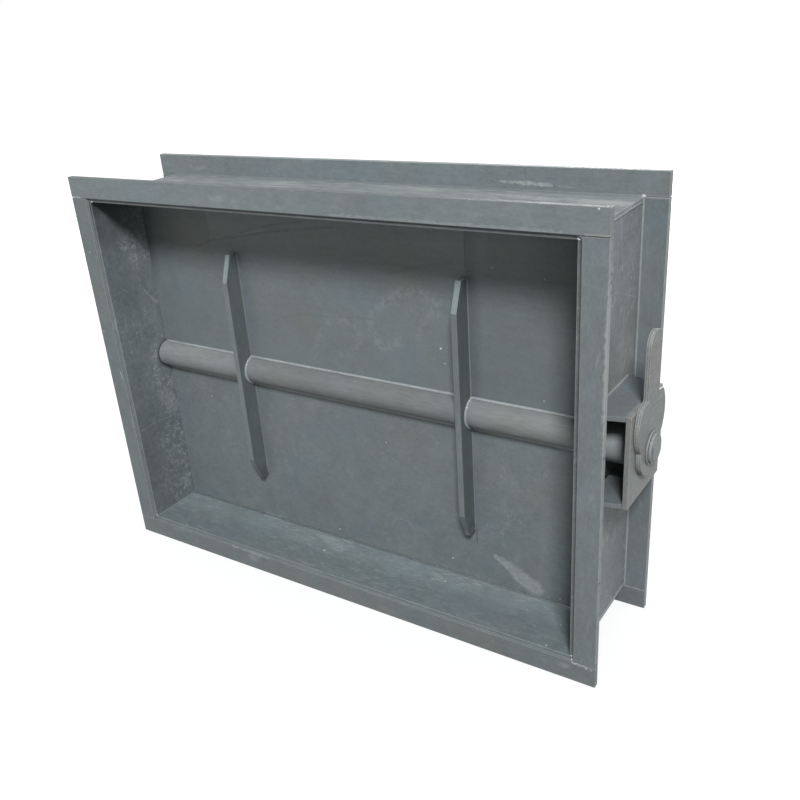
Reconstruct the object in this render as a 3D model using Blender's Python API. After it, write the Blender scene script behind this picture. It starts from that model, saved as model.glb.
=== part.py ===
"""Rectangular manual damper: a welded plastic duct casing with a flange at each end, one ribbed blade on a
through shaft, and a hand lever outside a box bracket on the right wall.

Metres, +Z up. The front is at -Y and the lever at +X. The blade is closed and the lever upright."""

import math

import bmesh
import bpy

# Casing
opening_width = 0.700
opening_height = 0.500
casing_depth = 0.180
wall_thickness = 0.005
wall_setback = 0.003
flange_width = 0.028
flange_thickness = 0.008

# Blade, its ribs and the shaft
blade_thickness = 0.006
blade_end_gap = 0.002
blade_side_gap = 0.002
rib_thickness = 0.008
rib_projection = 0.0275
rib_length = 0.345
rib_chamfer_length = 0.036
rib_chamfer_depth = 0.014
rib_spacing = 0.356
shaft_diameter = 0.040

# Bracket on the right wall
bracket_reach = 0.043
bracket_thickness = 0.006
bracket_height = 0.112
bracket_wall_depth = 0.118
bracket_outer_depth = 0.101

# Bearings
bush_wall = 0.0044
boss_wall = 0.007
boss_length = 0.018
cap_thickness = 0.004
shaft_left_overrun = 0.014

# Lever and what holds it
lever_thickness = 0.006
grip_width = 0.035
grip_top = 0.138
shoulder_height = 0.062
shoulder_drop = 0.003
hub_radius = 0.0425
hub_centre_height = 0.033
lobe_radius = 0.033
journal_diameter = 0.030
journal_across_flats = 0.026
washer_diameter = 0.040
washer_thickness = 0.002
nut_diameter = 0.0354
nut_thickness = 0.003
nut_slot_width = 0.004
nut_slot_depth = 0.0012
nut_slots = 4
shaft_end_proud = 0.0015

# Fits and edges
seat_gap = 0.0003
running_gap = 0.0003
lever_gap = 0.0005
edge_round = 0.0004
turned_chamfer = 0.001
cutter_spare = 0.002

# Worked out from the sizes above
half_width = opening_width / 2
half_depth = casing_depth / 2
wall_outer_x = half_width + wall_thickness
wall_seat_x = wall_outer_x + seat_gap
flange_outer_x = wall_outer_x + flange_width
floor_z = flange_width + wall_thickness
casing_height = opening_height + 2 * floor_z
axis_z = casing_height / 2
shaft_radius = shaft_diameter / 2
journal_radius = journal_diameter / 2
bush_radius = shaft_radius + running_gap + bush_wall
journal_bush_radius = journal_radius + running_gap + bush_wall
boss_radius = bush_radius + seat_gap + boss_wall
cap_x = wall_seat_x + boss_length + seat_gap
bracket_outer_x = wall_outer_x + bracket_reach
bracket_inner_x = bracket_outer_x - bracket_thickness
lever_inner_x = bracket_outer_x + lever_gap
lever_outer_x = lever_inner_x + lever_thickness
washer_x = lever_outer_x + seat_gap
nut_x = washer_x + washer_thickness + seat_gap
shaft_left_x = -(wall_outer_x + shaft_left_overrun)
shaft_shoulder_x = bracket_inner_x - seat_gap
shaft_end_x = nut_x + nut_thickness + shaft_end_proud
left_reach = max(flange_outer_x, cap_x + cap_thickness)
casing_x = (left_reach - shaft_end_x) / 2

FACING_X = (math.radians(90), 0, math.radians(90))
ROUND_STEPS = 48
SHARP_ANGLE = math.radians(35)

CASING_LOOK = ((0.155, 0.185, 0.198), 0.55)
BLADE_LOOK = ((0.160, 0.190, 0.202), 0.50)
FITTING_LOOK = ((0.190, 0.200, 0.200), 0.50)
BUSH_LOOK = ((0.120, 0.135, 0.140), 0.50)


def clear_scene():
    for obj in list(bpy.data.objects):
        bpy.data.objects.remove(obj, do_unlink=True)


def make_material(name, colour, roughness):
    material = bpy.data.materials.new(name)
    material.use_nodes = True
    shader = material.node_tree.nodes["Principled BSDF"]
    shader.inputs["Base Color"].default_value = (*colour, 1)
    shader.inputs["Roughness"].default_value = roughness
    shader.inputs["Metallic"].default_value = 0
    return material


def make_empty(name, parent, location):
    empty = bpy.data.objects.new(name, None)
    bpy.context.collection.objects.link(empty)
    empty.parent = parent
    empty.location = location
    return empty


def make_object(name, shape, look, parent, location, rotation=(0, 0, 0)):
    """Turns a bmesh into an object. With a look it gets a material of its own."""
    bmesh.ops.recalc_face_normals(shape, faces=shape.faces)
    mesh = bpy.data.meshes.new(name)
    shape.to_mesh(mesh)
    shape.free()
    obj = bpy.data.objects.new(name, mesh)
    bpy.context.collection.objects.link(obj)
    obj.parent = parent
    obj.location = location
    obj.rotation_euler = rotation
    if look:
        mesh.materials.append(make_material(f"{name}_plastic", *look))
    return obj


def along_x(side=1):
    """Turns local Z to +X, or to -X on the left side."""
    return (0, side * math.radians(90), 0)


def sheet(outline, thickness):
    """An outline in local XY, extruded up by the thickness."""
    shape = bmesh.new()
    face = shape.faces.new([shape.verts.new((x, y, 0)) for x, y in outline])
    made = bmesh.ops.extrude_face_region(shape, geom=[face])
    raised = [item for item in made["geom"] if isinstance(item, bmesh.types.BMVert)]
    bmesh.ops.translate(shape, verts=raised, vec=(0, 0, thickness))
    return shape


def block(x_range, y_range, z_range):
    """A box between two limits on each axis."""
    (x0, x1), (y0, y1) = x_range, y_range
    shape = sheet([(x0, y0), (x1, y0), (x1, y1), (x0, y1)], z_range[1] - z_range[0])
    bmesh.ops.translate(shape, verts=shape.verts, vec=(0, 0, z_range[0]))
    return shape


def arc(centre, radius, start, end, steps):
    """Points on a circle from one angle to another, in degrees."""
    angles = [math.radians(start + (end - start) * i / steps) for i in range(steps + 1)]
    return [(centre[0] + radius * math.cos(a), centre[1] + radius * math.sin(a)) for a in angles]


def disc(radius, thickness):
    return sheet(arc((0, 0), radius, 0, 360, ROUND_STEPS)[:-1], thickness)


def turned(profile):
    """(height, radius) points spun round local Z. A profile that keeps off the axis is closed on itself."""
    shape = bmesh.new()
    points = [shape.verts.new((radius, 0, height)) for height, radius in profile]
    is_ring = min(radius for _, radius in profile) > 0
    path = points + points[:1] if is_ring else points
    edges = [shape.edges.new(pair) for pair in zip(path, path[1:])]
    bmesh.ops.spin(
        shape, geom=points + edges, axis=(0, 0, 1), angle=math.tau, steps=ROUND_STEPS, use_merge=True
    )
    bmesh.ops.remove_doubles(shape, verts=shape.verts, dist=1e-6)
    return shape


def ring(length, bore_radius, outer_radius, chamfer):
    """A sleeve's or washer's profile, chamfered on its two outer edges."""
    return [
        (0, bore_radius),
        (length, bore_radius),
        (length, outer_radius - chamfer),
        (length - chamfer, outer_radius),
        (chamfer, outer_radius),
        (0, outer_radius - chamfer),
    ]


def smooth(obj):
    obj.data.shade_smooth()
    obj.data.set_sharp_from_angle(angle=SHARP_ANGLE)


def round_edges(obj):
    bevel = obj.modifiers.new("edge rounding", "BEVEL")
    bevel.width = edge_round
    bevel.segments = 1
    bevel.limit_method = "ANGLE"
    bevel.angle_limit = SHARP_ANGLE


def cut(obj, shape, name, location, rotation=(0, 0, 0)):
    """Cuts the shape out of the object. Both have the same parent."""
    cutter = make_object(name, shape, None, obj.parent, location, rotation)
    cutter.hide_render = True
    cutter.display_type = "WIRE"
    boolean = obj.modifiers.new(name, "BOOLEAN")
    boolean.operation = "DIFFERENCE"
    boolean.object = cutter


def bore(obj, radius, x, thickness):
    """Bores a round hole on the shaft's axis through a plate that starts at x."""
    hole = disc(radius, thickness + 2 * cutter_spare)
    cut(obj, hole, f"{obj.name}_bore", (x - cutter_spare, 0, axis_z), along_x())


def make_walls(casing):
    """Four sheets: the top and bottom ones run over the ends of the side ones."""
    y_range = (wall_setback - half_depth, half_depth - wall_setback)
    for name, z in (("wall_bottom", flange_width), ("wall_top", casing_height - floor_z)):
        shape = block((-wall_outer_x, wall_outer_x), y_range, (0, wall_thickness))
        round_edges(make_object(name, shape, CASING_LOOK, casing, (0, 0, z)))
    z_range = (floor_z + seat_gap, casing_height - floor_z - seat_gap)
    for name, x in (("wall_left", -wall_outer_x), ("wall_right", half_width)):
        shape = block((0, wall_thickness), y_range, z_range)
        wall = make_object(name, shape, CASING_LOOK, casing, (x, 0, 0))
        bore(wall, bush_radius + seat_gap, x, wall_thickness)
        round_edges(wall)


def make_flanges(casing):
    """Strips on the walls' outer faces: the side ones butt between the top and bottom ones."""
    strip = flange_width - seat_gap
    y_range = (0, flange_thickness)
    z_range = (flange_width + seat_gap, casing_height - flange_width - seat_gap)
    for end, y in (("front", -half_depth), ("rear", half_depth - flange_thickness)):
        for side, z in (("bottom", 0), ("top", casing_height - strip)):
            shape = block((-flange_outer_x, flange_outer_x), y_range, (0, strip))
            round_edges(make_object(f"{end}_flange_{side}", shape, CASING_LOOK, casing, (0, y, z)))
        for side, x in (("left", -flange_outer_x), ("right", flange_outer_x - strip)):
            shape = block((0, strip), y_range, z_range)
            round_edges(make_object(f"{end}_flange_{side}", shape, CASING_LOOK, casing, (x, y, 0)))


def make_bracket(casing):
    """A box open at the front and the back: two tapering plates and an upright outer plate."""
    start_x = wall_seat_x
    end_x = bracket_inner_x - seat_gap
    bottom_z = axis_z - bracket_height / 2
    outline = [
        (start_x, -bracket_wall_depth / 2),
        (end_x, -bracket_outer_depth / 2),
        (end_x, bracket_outer_depth / 2),
        (start_x, bracket_wall_depth / 2),
    ]
    top_z = bottom_z + bracket_height - bracket_thickness
    for name, z in (("bracket_bottom_plate", bottom_z), ("bracket_top_plate", top_z)):
        shape = sheet(outline, bracket_thickness)
        round_edges(make_object(name, shape, FITTING_LOOK, casing, (0, 0, z)))
    y_range = (-bracket_outer_depth / 2, bracket_outer_depth / 2)
    shape = block((0, bracket_thickness), y_range, (0, bracket_height))
    place = (bracket_inner_x, 0, bottom_z)
    plate = make_object("bracket_outer_plate", shape, FITTING_LOOK, casing, place)
    bore(plate, journal_bush_radius + seat_gap, bracket_inner_x, bracket_thickness)
    round_edges(plate)


def make_bearings(casing):
    """The sleeves that the shaft turns in, and the boss and cap over its left end."""
    shaft_bore = shaft_radius + running_gap
    bracket_sleeve = ring(bracket_inner_x - seat_gap - half_width, shaft_bore, bush_radius, edge_round)
    boss_sleeve = ring(cap_x - seat_gap - half_width, shaft_bore, bush_radius, edge_round)
    short_sleeve = ring(bracket_thickness, journal_radius + running_gap, journal_bush_radius, edge_round)
    boss = ring(boss_length, bush_radius + seat_gap, boss_radius, turned_chamfer)
    cap = [
        (0, 0),
        (0, boss_radius),
        (cap_thickness - turned_chamfer, boss_radius),
        (cap_thickness, boss_radius - turned_chamfer),
        (cap_thickness, 0),
    ]
    for name, profile, look, side, x in (
        ("right_bush", bracket_sleeve, FITTING_LOOK, 1, half_width),
        ("bracket_bush", short_sleeve, BUSH_LOOK, 1, bracket_inner_x),
        ("left_bush", boss_sleeve, BUSH_LOOK, -1, half_width),
        ("left_boss", boss, FITTING_LOOK, -1, wall_seat_x),
        ("left_cap", cap, FITTING_LOOK, -1, cap_x),
    ):
        smooth(make_object(name, turned(profile), look, casing, (side * x, 0, axis_z), along_x(side)))


def make_shaft(axis):
    """A bar with a shoulder behind the bracket's bush, then a journal with two flats for the lever."""
    end = shaft_end_x - shaft_left_x
    shoulder = shaft_shoulder_x - shaft_left_x
    profile = [
        (0, 0),
        (0, shaft_radius - turned_chamfer),
        (turned_chamfer, shaft_radius),
        (shoulder - turned_chamfer, shaft_radius),
        (shoulder, shaft_radius - turned_chamfer),
        (shoulder, journal_radius),
        (end - turned_chamfer, journal_radius),
        (end, journal_radius - turned_chamfer),
        (end, 0),
    ]
    shaft = make_object("shaft", turned(profile), FITTING_LOOK, axis, (shaft_left_x, 0, 0), along_x())
    smooth(shaft)
    flat_y = journal_across_flats / 2
    spare_y = journal_radius + cutter_spare
    length = shaft_end_x - lever_inner_x + cutter_spare
    for name, y_range in (("front_flat", (-spare_y, -flat_y)), ("rear_flat", (flat_y, spare_y))):
        cut(shaft, block((0, length), y_range, (-spare_y, spare_y)), name, (lever_inner_x, 0, 0))


def make_blade(axis):
    """Two half sheets that seat against the shaft and clear the duct's walls."""
    inner_z = shaft_radius + seat_gap
    outer_z = opening_height / 2 - blade_end_gap
    reach = half_width - blade_side_gap
    y_range = (-blade_thickness / 2, blade_thickness / 2)
    for name, z_range in (("blade_upper", (inner_z, outer_z)), ("blade_lower", (-outer_z, -inner_z))):
        shape = block((-reach, reach), y_range, z_range)
        round_edges(make_object(name, shape, BLADE_LOOK, axis, (0, 0, 0)))


def rib_outline():
    """Side view of a rib: its back on the blade, a long chamfer at each end, the notch over the shaft."""
    back = -blade_thickness / 2 - seat_gap
    front = -blade_thickness / 2 - rib_projection
    end_front = front + rib_chamfer_depth
    straight = rib_length / 2 - rib_chamfer_length
    notch_radius = shaft_radius + seat_gap
    mouth = math.degrees(math.asin(-back / notch_radius))
    return [
        (back, rib_length / 2),
        (end_front, rib_length / 2),
        (front, straight),
        (front, -straight),
        (end_front, -rib_length / 2),
        (back, -rib_length / 2),
        *arc((0, 0), notch_radius, 270 - mouth, 90 + mouth, ROUND_STEPS // 2),
    ]


def make_ribs(axis):
    for name, side in (("rib_left", -1), ("rib_right", 1)):
        shape = sheet(rib_outline(), rib_thickness)
        place = (side * rib_spacing / 2 - rib_thickness / 2, 0, 0)
        round_edges(make_object(name, shape, BLADE_LOOK, axis, place, FACING_X))


def lever_outline():
    """Side view: the grip's round end, its shoulders, the round hub, and the lobe round the shaft."""
    grip = grip_width / 2
    hub = (0, hub_centre_height)
    shoulder = math.degrees(math.asin((shoulder_height - shoulder_drop - hub_centre_height) / hub_radius))
    waist_height = (lobe_radius**2 - hub_radius**2 + hub_centre_height**2) / (2 * hub_centre_height)
    lobe_waist = math.degrees(math.asin(waist_height / lobe_radius))
    hub_waist = math.degrees(math.asin((hub_centre_height - waist_height) / hub_radius))
    return [
        *arc((0, grip_top - grip), grip, 0, 180, ROUND_STEPS // 2),
        (-grip, shoulder_height),
        *arc(hub, hub_radius, 180 - shoulder, 180 + hub_waist, ROUND_STEPS // 3),
        *arc((0, 0), lobe_radius, 180 - lobe_waist, 360 + lobe_waist, ROUND_STEPS // 2)[1:],
        *arc(hub, hub_radius, -hub_waist, shoulder, ROUND_STEPS // 3)[1:],
        (grip, shoulder_height),
    ]


def flatted_bore(radius, across_flats):
    """A round outline with a flat at the front and the back."""
    flat = math.degrees(math.acos(across_flats / 2 / radius))
    quarter = ROUND_STEPS // 4
    return [
        *arc((0, 0), radius, flat, 180 - flat, quarter),
        *arc((0, 0), radius, 180 + flat, 360 - flat, quarter),
    ]


def make_lever(axis):
    """The lever sits on the journal's flats, under a washer and a slotted round nut."""
    shape = sheet(lever_outline(), lever_thickness)
    lever = make_object("lever", shape, FITTING_LOOK, axis, (lever_inner_x, 0, 0), FACING_X)
    seat = flatted_bore(journal_radius + seat_gap, journal_across_flats + 2 * seat_gap)
    hole = sheet(seat, lever_thickness + 2 * cutter_spare)
    cut(lever, hole, "lever_seat", (lever_inner_x - cutter_spare, 0, 0), FACING_X)
    round_edges(lever)


def make_lever_fastening(axis):
    bore_radius = journal_radius + seat_gap
    washer = turned(ring(washer_thickness, bore_radius, washer_diameter / 2, edge_round))
    smooth(make_object("lever_washer", washer, FITTING_LOOK, axis, (washer_x, 0, 0), along_x()))
    shape = turned(ring(nut_thickness, bore_radius, nut_diameter / 2, edge_round))
    nut = make_object("lever_nut", shape, FITTING_LOOK, axis, (nut_x, 0, 0), along_x())
    smooth(nut)
    slot_floor = nut_diameter / 2 - nut_slot_depth
    x_range = (-cutter_spare, nut_thickness + cutter_spare)
    z_range = (slot_floor, slot_floor + nut_slot_depth + cutter_spare)
    for i in range(nut_slots):
        slot = block(x_range, (-nut_slot_width / 2, nut_slot_width / 2), z_range)
        turn = math.tau * (i + 0.5) / nut_slots
        cut(nut, slot, f"nut_slot_{i + 1}", (nut_x, 0, 0), (turn, 0, 0))


def main():
    clear_scene()
    casing = make_empty("casing", None, (casing_x, 0, 0))
    make_walls(casing)
    make_flanges(casing)
    make_bracket(casing)
    make_bearings(casing)
    axis = make_empty("blade_axis", casing, (0, 0, axis_z))
    make_shaft(axis)
    make_blade(axis)
    make_ribs(axis)
    make_lever(axis)
    make_lever_fastening(axis)


main()
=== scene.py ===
"""The looks of the rectangular manual damper: materials, weld beads, floor, light and camera.

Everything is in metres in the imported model's own frame: +X to the operating side, +Z up, and the
front of the duct opening towards -Y. Each piece is built with its place in its vertices, so that
the Object coordinates in a material are the model's own coordinates and stay fixed at every pose.
"""

import math
import random

import bmesh
import bpy
from mathutils import Euler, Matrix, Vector


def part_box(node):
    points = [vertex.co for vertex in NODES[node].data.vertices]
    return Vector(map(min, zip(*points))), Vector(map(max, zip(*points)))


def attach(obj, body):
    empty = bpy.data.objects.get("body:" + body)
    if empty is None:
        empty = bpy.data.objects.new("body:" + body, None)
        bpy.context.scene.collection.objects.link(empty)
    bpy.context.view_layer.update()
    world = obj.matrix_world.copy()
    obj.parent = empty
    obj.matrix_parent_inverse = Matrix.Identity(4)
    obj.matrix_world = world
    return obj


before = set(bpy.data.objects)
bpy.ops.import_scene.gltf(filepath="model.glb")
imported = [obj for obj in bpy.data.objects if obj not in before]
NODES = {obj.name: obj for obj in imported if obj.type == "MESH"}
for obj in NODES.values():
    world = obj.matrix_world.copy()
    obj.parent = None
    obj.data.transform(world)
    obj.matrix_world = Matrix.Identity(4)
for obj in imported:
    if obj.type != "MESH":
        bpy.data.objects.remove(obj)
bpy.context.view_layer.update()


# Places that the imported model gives


def span(node):
    """The lowest and highest corner of a CAD node, as two vectors."""
    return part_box(node)


wall_left_lo, wall_left_hi = span("wall_left")
wall_right_lo, wall_right_hi = span("wall_right")
wall_top_lo, wall_top_hi = span("wall_top")
wall_bottom_lo, wall_bottom_hi = span("wall_bottom")
inner_left = wall_left_hi.x
inner_right = wall_right_lo.x
outer_left = wall_left_lo.x
outer_right = wall_right_hi.x
inner_bottom = wall_bottom_hi.z
inner_top = wall_top_lo.z
outer_bottom = wall_bottom_lo.z
outer_top = wall_top_hi.z
wall_front = wall_left_lo.y
wall_rear = wall_left_hi.y

shaft_lo, shaft_hi = span("shaft")
shaft_centre = Vector((0.0, (shaft_lo.y + shaft_hi.y) / 2, (shaft_lo.z + shaft_hi.z) / 2))
shaft_radius = (shaft_hi.z - shaft_lo.z) / 2
blade_lo, blade_hi = span("blade_upper")
blade_front = blade_lo.y
blade_rear = blade_hi.y
blade_low_edge = span("blade_lower")[1].z
blade_high_edge = blade_lo.z


# Material graphs


def put(tree, socket, value):
    """Links a value that is a socket, and sets any other as a constant."""
    if isinstance(value, bpy.types.NodeSocket):
        tree.links.new(value, socket)
    else:
        socket.default_value = value


def add_node(tree, kind, inputs, **settings):
    """A new node with its settings, and with values for the inputs that are given by name or number."""
    node = tree.nodes.new(kind)
    for name, value in settings.items():
        setattr(node, name, value)
    for key, value in inputs.items():
        put(tree, node.inputs[key], value)
    return node


class Graph:
    """A material under construction. Most methods add nodes and give back an output socket."""

    def __init__(self, name, seed=0.0, specular=0.2):
        self.material = bpy.data.materials.new(name)
        self.material.use_nodes = True
        self.tree = self.material.node_tree
        self.shader = self.tree.nodes["Principled BSDF"]
        self.shader.inputs["Specular IOR Level"].default_value = specular
        found = self.tree.nodes.new("ShaderNodeTexCoord").outputs
        self.place = found["Object"]
        self.normal = found["Normal"]
        self.colour = None
        self.shift = (seed * 1.37, seed * 2.11, seed * 0.73)

    def node(self, kind, *values, **settings):
        """A new node whose first inputs take the values, in their order."""
        return add_node(self.tree, kind, dict(enumerate(values)), **settings)

    def math(self, operation, *values, clamp=False):
        return self.node("ShaderNodeMath", *values, operation=operation, use_clamp=clamp).outputs[0]

    def fold(self, operation, values):
        """One value out of several, such as the least of them."""
        found, *others = values
        for value in others:
            found = self.math(operation, found, value)
        return found

    def product(self, *values):
        return self.fold("MULTIPLY", values)

    def apart(self, one, other):
        """How far apart two values are."""
        return self.math("ABSOLUTE", self.math("SUBTRACT", one, other))

    def vector(self, operation, *values):
        node = self.node("ShaderNodeVectorMath", *values, operation=operation)
        single = operation in ("LENGTH", "DOT_PRODUCT", "DISTANCE")
        return node.outputs["Value" if single else "Vector"]

    def scaled(self, vector, factor):
        inputs = {0: vector, "Scale": factor}
        return add_node(self.tree, "ShaderNodeVectorMath", inputs, operation="SCALE").outputs["Vector"]

    def split(self, vector):
        return self.node("ShaderNodeSeparateXYZ", vector).outputs

    def noise(self, scale, detail=3.0, rough=0.6, stretch=(1, 1, 1), move=(0, 0, 0), turn=0, bend=0.0):
        """The graph's own noise. Move and turn take it from another place, so that two don't look alike."""
        shift = self.shift[turn:] + self.shift[:turn]
        offset = [a + b for a, b in zip(shift, move)]
        place = self.vector("MULTIPLY", self.vector("ADD", self.place, offset), stretch)
        inputs = {"Vector": place, "Scale": scale, "Detail": detail, "Roughness": rough, "Distortion": bend}
        return add_node(self.tree, "ShaderNodeTexNoise", inputs).outputs["Fac"]

    def wander(self, noise, share):
        """A noise about zero whose usual size is the given share."""
        return self.math("MULTIPLY", self.math("SUBTRACT", noise, 0.5), 10.0 * share)

    def ramp(self, value, low, high, to_low=0.0, to_high=1.0):
        """Value mapped smoothly from low..high to to_low..to_high, and held at the ends."""
        values = (value, low, high, to_low, to_high)
        return self.node("ShaderNodeMapRange", *values, interpolation_type="SMOOTHSTEP").outputs[0]

    def lay(self, mask, colour):
        """Lays a colour over what is there."""
        inputs = {"Factor": mask, "A": self.colour, "B": colour}
        self.colour = add_node(self.tree, "ShaderNodeMix", inputs, data_type="RGBA").outputs["Result"]

    def lighten(self, mask, amount):
        """Makes what is there lighter by a share, or darker where the amount is negative."""
        self.colour = self.scaled(self.colour, self.math("MULTIPLY_ADD", mask, amount, 1.0))

    def distance_to_line(self, start, end):
        along = Vector(end) - Vector(start)
        offset = self.vector("SUBTRACT", self.place, tuple(start))
        share = self.vector("DOT_PRODUCT", offset, tuple(along / along.length_squared))
        nearest = self.scaled(tuple(along), self.math("MULTIPLY", share, 1.0, clamp=True))
        return self.vector("LENGTH", self.vector("SUBTRACT", offset, nearest))

    def away(self, points):
        """How far a place is from the line through the points."""
        return self.fold("MINIMUM", [self.distance_to_line(a, b) for a, b in zip(points, points[1:])])

    def stroke(self, points, half_width, soft=0.7):
        """A mask that is 1 on the line through the points and 0 beyond half_width from it."""
        return self.ramp(self.away(points), half_width * (1 - soft), half_width, 1.0, 0.0)

    def within(self, spans):
        """A mask of where every span holds. A span is an axis and where on it the mask starts and is full."""
        axes = self.split(self.place)
        return self.product(1.0, *(self.ramp(axes[axis], start, full) for axis, start, full in spans))

    def facing(self, axis, low, high):
        """A mask of the faces whose normal has low..high or more along an axis."""
        return self.ramp(self.split(self.normal)[axis], low, high)

    def edge_distance(self, low, high):
        """How far a point on a box's surface is from the box's nearest edge."""
        axes = self.split(self.place)
        away = [self.math("MINIMUM", self.apart(axes[axis], low[axis]), self.apart(axes[axis], high[axis]))
                for axis in range(3)]
        small = self.math("MINIMUM", away[0], away[1])
        large = self.math("MAXIMUM", away[0], away[1])
        return self.math("MAXIMUM", small, self.math("MINIMUM", large, away[2]))

    def dots(self, scale, share, radius):
        """A mask of scattered round dots: a share of a lattice's cells holds one, of up to the radius."""
        inputs = {"Vector": self.vector("ADD", self.place, self.shift), "Scale": scale}
        cells = add_node(self.tree, "ShaderNodeTexVoronoi", inputs).outputs
        reach = self.ramp(self.split(cells["Color"])[0], 1.0 - share, 1.0, 0.0, radius * scale)
        return self.ramp(self.math("SUBTRACT", reach, cells["Distance"]), 0.0, 0.3 * radius * scale)

    def finish(self, roughness, height, bump_distance, bump_strength):
        inputs = {"Height": height, "Distance": bump_distance, "Strength": bump_strength}
        normal = add_node(self.tree, "ShaderNodeBump", inputs).outputs["Normal"]
        for name, value in (("Base Color", self.colour), ("Roughness", roughness), ("Normal", normal)):
            put(self.tree, self.shader.inputs[name], value)
        return self.material


PALE = (0.44, 0.46, 0.45, 1.0)
WHITE = (0.72, 0.73, 0.72, 1.0)
MUD = (0.190, 0.180, 0.165, 1.0)


def sheet_material(name, colour, seed, cloud=0.02, mottle=0.02, speckle=0.02, grain=0.03, hue=0.02,
                   way=(1, 1, 1), roughness=0.52, specks=0.5, marks=()):
    """Matte plastic sheet. Cloud, mottle, speckle and grain are its tone's wander, from coarse to fine, and
    hue is how far it strays to warm and cool. The marks are laid on last, in their order."""
    g = Graph(name, seed)
    medium = g.noise(38.0, 4.0, 0.65)
    small = g.noise(150.0, stretch=way)
    fine = g.noise(430.0, 2.0, stretch=way)
    factor = g.math("ADD", g.wander(g.noise(6.0), cloud), 1.0)
    for noise, share in ((medium, mottle), (small, speckle), (fine, grain)):
        factor = g.math("ADD", factor, g.wander(noise, share))
    stray = g.wander(g.noise(11.0, 4.0, 0.65, turn=1), hue)
    tilt = g.vector("ADD", g.scaled((1.0, 0.0, -1.0), stray), (1.0, 1.0, 1.0))
    g.colour = g.vector("MULTIPLY", g.scaled(colour[:3], factor), tilt)
    for mark in marks:
        mark(g)
    if specks:
        g.lay(g.product(g.dots(62.0, 0.05, 0.0011), specks), WHITE)
    height = g.math("ADD", g.product(fine, 0.35), g.product(medium, 0.3))
    rough = g.math("ADD", roughness, g.product(g.math("SUBTRACT", medium, 0.5), 0.22))
    return g.finish(rough, height, 0.00025, 0.6)


# Marks. Each gives back a function that lays the mark on a material


def line(points, half_width, amount, colour=PALE, broken=0.0, soft=0.7, grain=260.0, only=()):
    """A drawn or rubbed line, kept to the spans in only. A noise breaks it up by the share in broken."""
    def lay(g):
        mask = g.product(g.stroke(points, half_width, soft), g.within(only))
        if broken:
            mask = g.product(mask, g.ramp(g.noise(grain), 0.42, 0.58, 1.0 - broken, 1.0))
        g.lay(g.product(mask, amount), colour)
    return lay


def dark_line(points, half_width, amount, broken=0.0):
    """A thin dark line, such as a scribed or a dirty one, or the painted shadow in a narrow gap."""
    def lay(g):
        mask = g.stroke(points, half_width)
        if broken:
            mask = g.product(mask, g.ramp(g.noise(120.0), 0.40, 0.60, 1.0 - broken, 1.0))
        g.lighten(mask, -amount)
    return lay


def smear(points, axis, start, end, thin, wide, amount, bare=0.5, only=()):
    """A wiped stroke that widens between two places on an axis. Bare is what its bare spots keep of it."""
    def lay(g):
        reach = g.ramp(g.split(g.place)[axis], start, end, thin, wide)
        ragged = g.math("ADD", g.away(points), g.wander(g.noise(130.0), 0.0008))
        mask = g.ramp(g.math("DIVIDE", ragged, reach), 0.45, 1.0, 1.0, 0.0)
        dabs = g.ramp(g.noise(190.0), 0.38, 0.60, bare, 1.0)
        g.lay(g.product(mask, dabs, g.within(only), amount), PALE)
    return lay


def shade(amount, *spans, front=False):
    """Darker within the spans, or lighter with a negative amount: mostly painted shade and painted light, and
    in a few places the surface's own tone. With front, only faces to the front.
    """
    def lay(g):
        mask = g.within(spans)
        if front:
            mask = g.product(mask, g.facing(1, -0.5, -0.9))
        g.lighten(mask, -amount)
    return lay


def tinted_shade(colour, amount, *spans):
    """Painted shade of another colour within the spans, laid as a thin coat of it."""
    return lambda g: g.lay(g.product(g.within(spans), amount), colour)


def streaks(scale, way, share, *spans):
    """Tone that wanders in long streaks, within the spans."""
    def lay(g):
        wave = g.wander(g.noise(scale, 4.0, 0.65, way), share)
        g.lighten(g.product(wave, g.within(spans)), 1.0)
    return lay


def spots(centres, radius, amount, colour=WHITE):
    """Round specks at given places."""
    def lay(g):
        away = g.fold("MINIMUM", [g.vector("DISTANCE", g.place, centre) for centre in centres])
        g.lay(g.product(g.ramp(away, radius * 0.4, radius, 1.0, 0.0), amount), colour)
    return lay


def scuffs(scale, low, high, amount, way=(1, 1, 1), patch_scale=9.0, patch_low=0.46, patch_high=0.62):
    """Rubbed streaks in patches. The way stretches them: a small number makes them long on that axis."""
    def lay(g):
        patches = g.ramp(g.noise(patch_scale, move=(3.1, 0, 0)), patch_low, patch_high)
        rubbed = g.ramp(g.noise(scale, 4.0, 0.65, way, bend=0.6), low, high)
        g.lay(g.product(patches, rubbed, amount), PALE)
    return lay


def worms(scale, width, amount, *spans):
    """Short curled whitish lines, as left by swarf and fingers, within the spans."""
    def lay(g):
        level = g.noise(scale, 3.0, 0.55, move=(0, 5.3, 0), bend=0.9)
        ridge = g.ramp(g.apart(level, 0.5), 0.0, width, 1.0, 0.0)
        pieces = g.ramp(g.noise(scale * 0.9, 2.0, 0.5, move=(7.7, 0, 0)), 0.46, 0.60)
        patches = g.ramp(g.noise(14.0, move=(0, 0, 2.9)), 0.40, 0.58)
        g.lay(g.product(ridge, pieces, patches, amount, g.within(spans)), PALE)
    return lay


def worn_and_highlit_edges(node, amount, least=0.0004, most=0.0016):
    """Lighter arrises of a node's box, of a width that wanders between two limits: wear, and a painted
    highlight.
    """
    def lay(g):
        reach = g.math("MULTIPLY_ADD", g.noise(130.0, 3.0, 0.7), most - least, least)
        worn = g.math("SUBTRACT", 1.0, g.math("DIVIDE", g.edge_distance(*span(node)), reach), clamp=True)
        g.lay(g.product(worn, amount), PALE)
    return lay


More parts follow.
